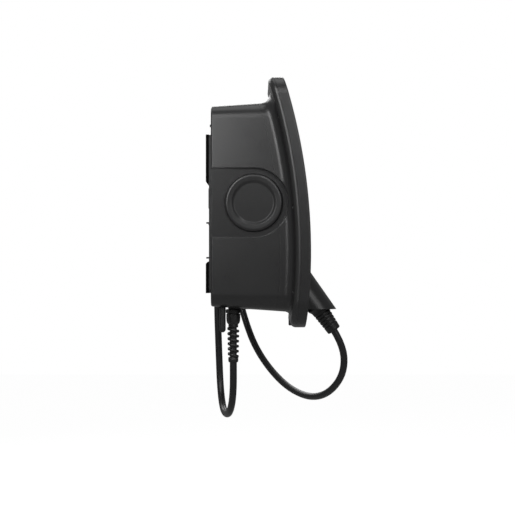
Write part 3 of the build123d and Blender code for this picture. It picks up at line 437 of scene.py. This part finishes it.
for side in (-1, 1):
    combine(frame_shell, add_piece("tool", *recess_wall(side)), operation="UNION")
    combine(frame_shell, add_piece("tool", *recess_tool(side)))
for x, z in COVER_SCREWS:
    combine(frame_shell, add_piece("tool", *screw_seat(x, z)))
for side, z in EARS:
    combine(frame_shell, add_piece("tool", *ear(side, z)), operation="UNION")
print("frame faces", len(frame_shell.data.polygons))

# %% [markdown]
# ## The kink protection
# Where the cable leaves the gland, an open rubber spiral keeps it from kinking. It is wound like a
# flat spring and gets a little slimmer towards its foot. The section of its wire is a rounded
# rectangle, and each point of it is carried along the helix.

# %% Spiral
BOOT_X, BOOT_Y = GLAND[0], GLAND[1]
BOOT_TOP = -0.2113
BOOT_FOOT = -0.2715
BOOT_PITCH = 0.0098
BOOT_INNER = 0.0074
BOOT_OUTER = 0.0118
WIRE_HALF = 0.0024


def spiral():
    """Helix angle 2π·(z fallen / pitch); section = superellipse, radial by axial."""
    fall = np.linspace(0, BOOT_TOP - BOOT_FOOT, 480)[:, None]
    angle = 2 * math.pi * fall / BOOT_PITCH
    slim = 1 - 0.10 * fall / (BOOT_TOP - BOOT_FOOT)
    around = np.linspace(0, 2 * math.pi, 16, endpoint=False)[None, :]
    swell = (np.abs(np.cos(around)) ** 4 + np.abs(np.sin(around)) ** 4) ** -0.25
    outer = BOOT_OUTER * slim
    radial = (BOOT_INNER + outer) / 2 + (outer - BOOT_INNER) / 2 * swell * np.cos(around)
    axial = WIRE_HALF * swell * np.sin(around)
    x = BOOT_X + radial * np.cos(angle)
    y = BOOT_Y + radial * np.sin(angle)
    points = np.stack([x, y, BOOT_TOP - fall + axial], axis=-1)
    rows, columns = x.shape
    ends = [list(range(columns)), list(range((rows - 1) * columns, rows * columns))]
    return points.reshape(-1, 3), grid_faces(rows, columns) + [ends[0][::-1], ends[1]]


def turned(profile, place, axis, around=64):
    """A profile of radius and distance, turned about an axis through a place, both ends closed."""
    axis = Vector(axis).normalized()
    side = axis.orthogonal().normalized()
    up = axis.cross(side)
    radius, along = np.asarray(profile, float).T[:, :, None]
    a = np.linspace(0, 2 * math.pi, around, endpoint=False)
    points = (np.array(place) + along[..., None] * np.array(axis)
              + (radius * np.cos(a))[..., None] * np.array(side)
              + (radius * np.sin(a))[..., None] * np.array(up))
    rows = len(profile)
    ends = [list(range(around)), list(range((rows - 1) * around, rows * around))]
    return points.reshape(-1, 3), grid_faces(rows, around) + [ends[0][::-1], ends[1]]


kink_spring = add_piece("kink_spring", *spiral(), crease=50.0)
FOOT_RING = [(0.0074, 0.0), (0.0090, 0.0), (0.0098, -0.0008), (0.0098, -0.0070), (0.0094, -0.0088),
             (0.0084, -0.0100), (0.0074, -0.0100)]
foot_ring = add_piece("foot_ring", *turned(FOOT_RING, (BOOT_X, BOOT_Y, -0.2692), (0, 0, 1)), crease=50.0)
combine(kink_spring, foot_ring, operation="UNION", crease=50.0)
print("turns", round((BOOT_TOP - BOOT_FOOT) / BOOT_PITCH, 1), "faces", len(kink_spring.data.polygons))

# %% [markdown]
# ## The cable gland
# The gland is a hexagon nut against the housing and a domed nut below it that squeezes a seal onto
# the cable. Both are turned with flats, so the radius is the smaller one of a circle's and a
# hexagon's at each angle.

# %% Gland
GLAND_ROWS = [
    (-0.1545, 0.0092, 1), (-0.1552, 0.0100, 1), (-0.1759, 0.0100, 1), (-0.1760, 0.0134, 0.01264),
    (-0.1768, 0.0146, 0.01264), (-0.1828, 0.0146, 0.01264), (-0.1836, 0.0134, 0.01264),
    (-0.1838, 0.0120, 1), (-0.1846, 0.0120, 1), (-0.1848, 0.0128, 0.0125), (-0.1856, 0.0136, 0.0125),
    (-0.1930, 0.0136, 0.0125), (-0.1990, 0.0132, 0.0122), (-0.2014, 0.0126, 0.0121),
    (-0.2034, 0.0115, 1), (-0.2046, 0.0104, 1), (-0.2052, 0.0096, 1),
]


def flatted(rows, x, y, around=96):
    """Radius at an angle: the smaller of the circle's and apothem / cos(angle within its flat)."""
    z, circle, apothem = np.array(rows, float).T[:, :, None]
    a = np.linspace(0, 2 * math.pi, around, endpoint=False)
    within = (a + math.pi / 6) % (math.pi / 3) - math.pi / 6
    radius = np.minimum(circle, apothem / np.cos(within))
    points = np.stack(np.broadcast_arrays(x + radius * np.cos(a), y + radius * np.sin(a), z), -1)
    ends = [list(range(around)), list(range((len(rows) - 1) * around, len(rows) * around))]
    return points.reshape(-1, 3), grid_faces(len(rows), around) + [ends[0][::-1], ends[1]]


gland = add_piece("gland", *flatted(GLAND_ROWS, BOOT_X, BOOT_Y), crease=25.0)
print("gland faces", len(gland.data.polygons))

# %% [markdown]
# ## The grip of the connector
# The handle is turned about the line of the cable. It has a collar that sits in the holster, a
# shoulder, and a tail with soft ribs that narrows down to the cable.

# %% Grip
DOCK_LEAN = math.radians(35)
DOCK_PLACE = (0.0, -0.2208, -0.1765)
DOCK_AXIS = (0.0, -math.sin(DOCK_LEAN), -math.cos(DOCK_LEAN))
RIBS = 5
RIB_PITCH = 0.0068
RIB_DEPTH = 0.0012


def grip_profile():
    """Radius over distance past the mouth. Grooves: the tail's radius less depth · ((1 + cos) / 2)⁵."""
    tail = np.linspace(0.004, 0.0495, 140)
    radius = 0.0176 + (0.0138 - 0.0176) * (tail / 0.0495)
    phase = (tail - 0.0100) / RIB_PITCH
    in_ribs = (phase > -0.5) & (phase < RIBS - 0.5)
    groove = ((1 + np.cos(2 * math.pi * phase)) / 2) ** 5
    radius = radius - RIB_DEPTH * groove * in_ribs
    head = [(0.0184, -0.018), (0.0208, -0.0172), (0.0214, -0.0150), (0.0214, -0.0070),
            (0.0211, -0.0050), (0.0202, -0.0033), (0.0188, -0.0014), (0.0179, 0.0010)]
    end = [(0.0136, 0.0505), (0.0128, 0.0516), (0.0116, 0.0520), (0.0072, 0.0520), (0.0072, 0.0340)]
    return np.vstack([head, np.stack([radius, tail], axis=1), end])


grip_points, grip_faces = turned(grip_profile(), DOCK_PLACE, DOCK_AXIS)
grip = add_piece("grip", grip_points, grip_faces, crease=40.0)
print("grip faces", len(grip_faces))

# %% [markdown]
# ## Finishes
# Every finish is worked out in the material's own nodes. To keep that readable, one small class
# stands for a number that varies over the surface. Adding, multiplying and the like then write the
# Math nodes.


# %% A number that varies over a surface
class Field:
    def __init__(self, finish, socket):
        self.finish = finish
        self.socket = socket

    def join(self, operation, first, second):
        return self.finish.node("Math", {"operation": operation}, {0: first, 1: second})

    def __add__(self, other):
        return self.join("ADD", self, other)

    def __radd__(self, other):
        return self.join("ADD", other, self)

    def __sub__(self, other):
        return self.join("SUBTRACT", self, other)

    def __rsub__(self, other):
        return self.join("SUBTRACT", other, self)

    def __mul__(self, other):
        return self.join("MULTIPLY", self, other)

    def __rmul__(self, other):
        return self.join("MULTIPLY", other, self)


class Finish:
    """One material in the making: node() adds a node and gives back one of its outputs."""

    def __init__(self, name, roughness=0.5, metallic=0.0):
        self.material = bpy.data.materials.new(name)
        self.material.use_nodes = True
        self.tree = self.material.node_tree
        self.shader = self.tree.nodes["Principled BSDF"]
        self.shader.inputs["Roughness"].default_value = roughness
        self.shader.inputs["Metallic"].default_value = metallic

    def feed(self, socket, value):
        if isinstance(value, Field):
            self.tree.links.new(value.socket, socket)
        else:
            socket.default_value = value

    def node(self, kind, settings=None, values=None, output=0):
        made = self.tree.nodes.new("ShaderNode" + kind)
        for name, setting in (settings or {}).items():
            if name == "stops":
                self.set_stops(made.color_ramp, setting)
            else:
                setattr(made, name, setting)
        for key, value in (values or {}).items():
            self.feed(made.inputs[key], value)
        return Field(self, made.outputs[output])

    def set_stops(self, ramp, stops):
        for place, colour in stops[len(ramp.elements):]:
            ramp.elements.new(place)
        for element, (place, colour) in zip(ramp.elements, stops):
            element.position = place
            element.color = (*colour, 1)

    def put(self, **values):
        for name, value in values.items():
            self.feed(self.shader.inputs[name.replace("_", " ")], value)
        return self

    def noise(self, scale, detail=2.0, roughness=0.5):
        where = self.node("TexCoord", output="Object")
        values = {"Vector": where, "Scale": scale, "Detail": detail, "Roughness": roughness}
        return self.node("TexNoise", {}, values)

    def blend(self, factor, colour_a, colour_b):
        values = {0: factor, 6: (*colour_a, 1), 7: (*colour_b, 1)}
        return self.node("Mix", {"data_type": "RGBA"}, values, output=2)

    def bump(self, height, distance, edge=None):
        values = {"Height": height, "Distance": distance}
        if edge:
            values["Normal"] = self.node("Bevel", {"samples": 4}, {"Radius": edge})
        return self.node("Bump", {}, values)


# %% [markdown]
# ### Moulded plastic
# The covers are moulded in anthracite plastic. The mould was spark eroded, so the skin has a fine
# matt grain of about half a millimetre. Two noises of different size make the grain, and a very
# slow one lets the colour drift a little, as it does in real mouldings.


# %% Plastics and rubbers
def moulded(name, colour, roughness, grain=1900.0, depth=0.00006, drift=0.12, edge=0.0020):
    finish = Finish(name)
    slow = finish.noise(9.0, detail=3.0)
    fine = finish.noise(grain, detail=1.0)
    coarse = finish.noise(grain / 4, detail=2.0)
    dark = [c * (1 - drift) for c in colour]
    light = [c * (1 + drift) for c in colour]
    skin = finish.bump(fine * 0.7 + coarse * 0.3, depth, edge)
    finish.put(Base_Color=finish.blend(slow, dark, light))
    finish.put(Roughness=roughness - 0.05 + slow * 0.06 + fine * 0.05, Normal=skin)
    return finish.material


def rubber(name, colour, roughness, shine=0.5):
    finish = Finish(name)
    dust = finish.noise(60.0, detail=5.0, roughness=0.65)
    fine = finish.noise(900.0, detail=2.0)
    pale = [c * 1.7 for c in colour]
    finish.put(Base_Color=finish.blend(dust, colour, pale))
    finish.put(Roughness=roughness - 0.06 + dust * 0.14, Specular_IOR_Level=shine)
    finish.put(Normal=finish.bump(fine, 0.00005))
    return finish.material


def metal(name, colour, roughness, spread=0.1):
    finish = Finish(name, metallic=1.0)
    cloud = finish.noise(140.0, detail=4.0)
    dark = [c * 0.82 for c in colour]
    finish.put(Base_Color=finish.blend(cloud, dark, colour))
    finish.put(Roughness=roughness - spread / 2 + cloud * spread)
    finish.put(Normal=finish.bump(finish.noise(2600.0), 0.00002))
    return finish.material


def powder_coat(name, colour):
    finish = Finish(name)
    peel = finish.noise(700.0, detail=2.0)
    dark = [c * 0.9 for c in colour]
    finish.put(Base_Color=finish.blend(peel, dark, colour))
    finish.put(Roughness=0.42 + peel * 0.1, Normal=finish.bump(peel, 0.00012))
    return finish.material


def webbing(name, colour):
    finish = Finish(name)
    where = finish.node("TexCoord", output="Object")
    ribs = finish.node("TexWave", {"bands_direction": "X"}, {"Vector": where, "Scale": 260.0})
    fuzz = finish.noise(1500.0, detail=3.0)
    pale = [c * 2.2 for c in colour]
    finish.put(Base_Color=finish.blend(fuzz, colour, pale), Roughness=0.85 + fuzz * 0.1)
    finish.put(Normal=finish.bump(ribs * 0.6 + fuzz * 0.4, 0.0003))
    return finish.material


def circuit_board(name):
    finish = Finish(name)
    where = finish.node("TexCoord", output="Object")
    cells = finish.node("TexVoronoi", {"distance": "CHEBYCHEV"}, {"Vector": where, "Scale": 260.0})
    traces = finish.node("ValToRGB", {"stops": [(0.0, (0, 0, 0)), (0.5, (1, 1, 1))]}, {0: cells})
    finish.put(Base_Color=finish.blend(traces, (0.02, 0.11, 0.05), (0.03, 0.16, 0.07)))
    finish.put(Roughness=0.3 + cells * 0.2)
    return finish.material


FINISHES = {
    "anthracite_plastic": moulded("anthracite grain", (0.0215, 0.0215, 0.0220), 0.28),
    "black_plastic": moulded("black grain", (0.014, 0.014, 0.0145), 0.36),
    "module_grey": moulded("grey module", (0.42, 0.43, 0.43), 0.45, grain=1200.0),
    "module_black": moulded("black module", (0.028, 0.028, 0.028), 0.4, grain=1200.0),
    "light_plastic": moulded("milky light guide", (0.55, 0.57, 0.57), 0.25, depth=0.00001),
    "black_rubber": rubber("black rubber", (0.0030, 0.0030, 0.0030), 0.75, shine=0.06),
    "foam_pad": rubber("foam pad", (0.0022, 0.0022, 0.0022), 0.9, shine=0.04),
    "kink_rubber": rubber("kink rubber", (0.012, 0.012, 0.012), 0.42, shine=0.5),
    "grip_plastic": moulded("grip grain", (0.008, 0.008, 0.0083), 0.40),
    "cable_rubber": rubber("cable sheath", (0.010, 0.010, 0.0105), 0.36),
    "painted_steel": powder_coat("black powder coat", (0.03, 0.03, 0.032)),
    "zinc_steel": metal("zinc plate", (0.58, 0.59, 0.6), 0.35),
    "brass": metal("brass", (0.72, 0.55, 0.27), 0.3),
    "circuit_board": circuit_board("solder mask"),
    "strap_fabric": webbing("hook and loop webbing", (0.02, 0.02, 0.02)),
}
print("finishes", len(FINISHES))

# %% [markdown]
# The solids take their finish from the slot that the record gives them. The two pads at the wall
# are foam, which swallows nearly all light, so they get a blacker skin than the other black parts.
# The spiral and the grip also have their own black, because one is soft and the other handled.

# %% Dress the solids
slot_of = {row["node"]: row["material_slot"] for row in frame["record"]["subparts"]}
for name, node in frame["nodes"].items():
    node.data.materials.clear()
    node.data.materials.append(FINISHES[slot_of[name]])
for name in ("spacer_pad_upper", "spacer_pad_lower"):
    frame["nodes"][name].data.materials[0] = FINISHES["foam_pad"]
cable.data.materials.append(FINISHES["cable_rubber"])
DRESSED = {
    "cover_frame": (frame_shell, "anthracite_plastic"),
    "cable_gland": (gland, slot_of["cable_gland"]),
    "kink_spiral": (kink_spring, "kink_rubber"),
    "connector_grip": (grip, "grip_plastic"),
}
for piece, finish in DRESSED.values():
    piece.data.materials.append(FINISHES[finish])

# %% [markdown]
# ## Light and backdrop
# Two tall, narrow lamps stand beside the unit, a little towards the wall. A rounded edge shows such
# a lamp as one long bright line, and that is how the eye reads the sweep of the moulding. Their
# light comes from above, so the flat side fades from its top to its foot. Weaker soft lamps serve
# the front, the top and the far side. The backdrop is white only to rays that come from the camera
# or off a mirror, so it puts no glare on the object.


# %% Lamps
def lamp(name, place, target, width, power, height=None):
    """A soft lamp at a place, turned towards its target, that the camera itself doesn't see."""
    data = bpy.data.lights.new(name, "AREA")
    data.shape = "RECTANGLE"
    data.size = width
    data.size_y = height or width
    data.energy = power
    made = bpy.data.objects.new(name, data)
    made.location = place
    made.rotation_euler = (Vector(target) - Vector(place)).to_track_quat("-Z", "Y").to_euler()
    made.visible_camera = False
    bpy.context.scene.collection.objects.link(made)


lamp("tall lamp by the wall", (-0.846, 0.353, 0.40), (-0.10, -0.15, 0.38), 0.16, 3.3, height=0.80)
lamp("tall lamp beside it", (-0.934, 0.187, 0.45), (-0.10, -0.15, 0.43), 0.16, 1.4, height=0.70)
lamp("lamp for the cover", (-0.973, -0.368, 0.50), (-0.10, -0.15, 0.46), 0.16, 1.5, height=0.65)
lamp("front lamp", (-1.20, -0.90, 0.30), (-0.08, -0.18, 0.0), 0.6, 2.5)
lamp("close lamp", (-0.35, -0.35, 0.50), (-0.10, -0.16, 0.15), 0.20, 0.25)
lamp("side lamp", (-1.00, -0.15, 0.60), (-0.08, -0.15, 0.05), 0.5, 1.0)
lamp("top lamp", (-0.05, -0.05, 1.05), (-0.02, -0.08, 0.2), 0.6, 1.5)
lamp("far lamp", (1.50, 0.90, 1.20), (0.08, -0.10, 0.0), 1.0, 10.0)
lamp("back lamp", (1.60, -0.10, 0.95), (0.0, -0.10, 0.25), 1.0, 11.0)
print("lamps", len(bpy.data.lights))

# %% [markdown]
# The floor lies far below the unit. Its own colour is a plain grey, which takes the shadow and
# throws little light up under the unit. What the camera sees of it is raised to white.

# %% Floor and world
GLOSS_SEES = 0.1


def white_for_camera(tree, plain_white, lit, output):
    """Plain white for rays from the camera and through glass, and a share of it off gloss."""
    path = tree.nodes.new("ShaderNodeLightPath")
    direct = tree.nodes.new("ShaderNodeMath")
    direct.operation = "MAXIMUM"
    tree.links.new(path.outputs["Is Camera Ray"], direct.inputs[0])
    tree.links.new(path.outputs["Is Transmission Ray"], direct.inputs[1])
    off_gloss = tree.nodes.new("ShaderNodeMath")
    off_gloss.operation = "MULTIPLY_ADD"
    off_gloss.inputs[1].default_value = GLOSS_SEES
    tree.links.new(path.outputs["Is Glossy Ray"], off_gloss.inputs[0])
    tree.links.new(direct.outputs[0], off_gloss.inputs[2])
    mix = tree.nodes.new("ShaderNodeMixShader")
    tree.links.new(off_gloss.outputs[0], mix.inputs[0])
    tree.links.new(lit, mix.inputs[1])
    tree.links.new(plain_white, mix.inputs[2])
    tree.links.new(mix.outputs[0], output)


world = bpy.data.worlds.new("studio")
world.use_nodes = True
tree = world.node_tree
ambient = tree.nodes["Background"]
ambient.inputs["Color"].default_value = (1, 1, 1, 1)
ambient.inputs["Strength"].default_value = 0.135
white = tree.nodes.new("ShaderNodeBackground")
white.inputs["Color"].default_value = (1, 1, 1, 1)
white.inputs["Strength"].default_value = 1.0
white_for_camera(tree, white.outputs[0], ambient.outputs[0], tree.nodes["World Output"].inputs[0])
bpy.context.scene.world = world

FLOOR_Z = -0.80
FLOOR_REACH = 6.0
floor_mesh = bpy.data.meshes.new("floor")
corners = [(-FLOOR_REACH, -FLOOR_REACH, FLOOR_Z), (FLOOR_REACH, -FLOOR_REACH, FLOOR_Z),
           (FLOOR_REACH, FLOOR_REACH, FLOOR_Z), (-FLOOR_REACH, FLOOR_REACH, FLOOR_Z)]
floor_mesh.from_pydata(corners, [], [(0, 1, 2, 3)])
floor = bpy.data.objects.new("floor", floor_mesh)
bpy.context.scene.collection.objects.link(floor)
floor_finish = Finish("pale floor", roughness=0.9)
floor_finish.put(Base_Color=(0.4, 0.4, 0.4, 1))
floor_tree = floor_finish.tree
floor_white = floor_tree.nodes.new("ShaderNodeEmission")
floor_white.inputs["Strength"].default_value = 0.92
floor_lit = floor_tree.nodes.new("ShaderNodeAddShader")
floor_tree.links.new(floor_finish.shader.outputs[0], floor_lit.inputs[0])
floor_tree.links.new(floor_white.outputs[0], floor_lit.inputs[1])
white_for_camera(floor_tree, floor_lit.outputs[0], floor_finish.shader.outputs[0],
                 floor_tree.nodes["Material Output"].inputs[0])
floor_mesh.materials.append(floor_finish.material)
print("floor at", FLOOR_Z)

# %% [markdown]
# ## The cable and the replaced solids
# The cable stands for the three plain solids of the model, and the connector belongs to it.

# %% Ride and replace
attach(cable, "root")
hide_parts("cord_drop", "cord_coil", "cord_loop")
for node, (piece, _) in DRESSED.items():
    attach(piece, "root")
    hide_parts(node)

bpy.context.scene.view_settings.view_transform = "Standard"
